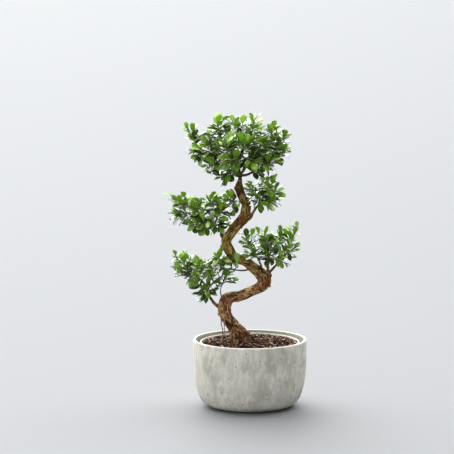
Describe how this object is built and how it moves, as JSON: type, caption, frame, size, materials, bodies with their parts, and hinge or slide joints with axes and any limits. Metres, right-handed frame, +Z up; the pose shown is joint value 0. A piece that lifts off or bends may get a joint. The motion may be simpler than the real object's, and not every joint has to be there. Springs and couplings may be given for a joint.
{
  "type": "ficus ginseng bonsai",
  "caption": "Small fig tree with an S-shaped trunk and separate leafy pads, rooted in soil in a liner pot that stands in a round, pale, rounded-bottom planter.",
  "frame": {"origin": "middle of the planter's flat underside", "axes": "+Z up along the trunk, +Y away from the picture's viewer, +X to the viewer's right"},
  "size_m": [0.3907, 0.318, 0.8253],
  "materials": {
    "planter_clay": "matt pale grey fibre clay with faint upright streaks",
    "liner_plastic": "matt pale plastic",
    "potting_soil": "damp dark bark chips and fibres",
    "bark": "furrowed, flaking brown bark",
    "leaf": "waxy dark green leaf"
  },
  "bodies": {
    "root": {"planter": "planter_clay", "liner": "liner_plastic", "soil": "potting_soil", "trunk": "bark", "shoot_crown_1": "leaf", "shoot_crown_2": "leaf", "shoot_crown_3": "leaf", "shoot_crown_4": "leaf", "shoot_crown_5": "leaf", "shoot_crown_6": "leaf", "shoot_crown_7": "leaf", "shoot_crown_8": "leaf", "shoot_crown_9": "leaf", "shoot_crown_10": "leaf", "shoot_crown_11": "leaf", "shoot_crown_12": "leaf", "shoot_crown_13": "leaf", "shoot_crown_14": "leaf", "shoot_crown_15": "leaf", "shoot_crown_16": "leaf", "shoot_crown_17": "leaf", "shoot_crown_18": "leaf", "shoot_crown_19": "leaf", "shoot_crown_20": "leaf", "shoot_crown_21": "leaf", "shoot_crown_22": "leaf", "shoot_upper_right_1": "leaf", "shoot_upper_right_2": "leaf", "shoot_upper_right_3": "leaf", "shoot_upper_right_4": "leaf", "shoot_upper_right_5": "leaf", "shoot_upper_right_6": "leaf", "shoot_left_middle_1": "leaf", "shoot_left_middle_2": "leaf", "shoot_left_middle_3": "leaf", "shoot_left_middle_4": "leaf", "shoot_left_middle_5": "leaf", "shoot_left_middle_6": "leaf", "shoot_left_middle_7": "leaf", "shoot_left_middle_8": "leaf", "shoot_left_middle_9": "leaf", "shoot_left_middle_10": "leaf", "shoot_right_middle_1": "leaf", "shoot_right_middle_2": "leaf", "shoot_right_middle_3": "leaf", "shoot_right_middle_4": "leaf", "shoot_right_middle_5": "leaf", "shoot_right_middle_6": "leaf", "shoot_right_middle_7": "leaf", "shoot_right_middle_8": "leaf", "shoot_right_middle_9": "leaf", "shoot_lower_left_1": "leaf", "shoot_lower_left_2": "leaf", "shoot_lower_left_3": "leaf", "shoot_lower_left_4": "leaf", "shoot_lower_left_5": "leaf", "shoot_lower_left_6": "leaf", "shoot_lower_left_7": "leaf", "shoot_lower_left_8": "leaf", "shoot_lower_left_9": "leaf"}
  },
  "joints": []
}
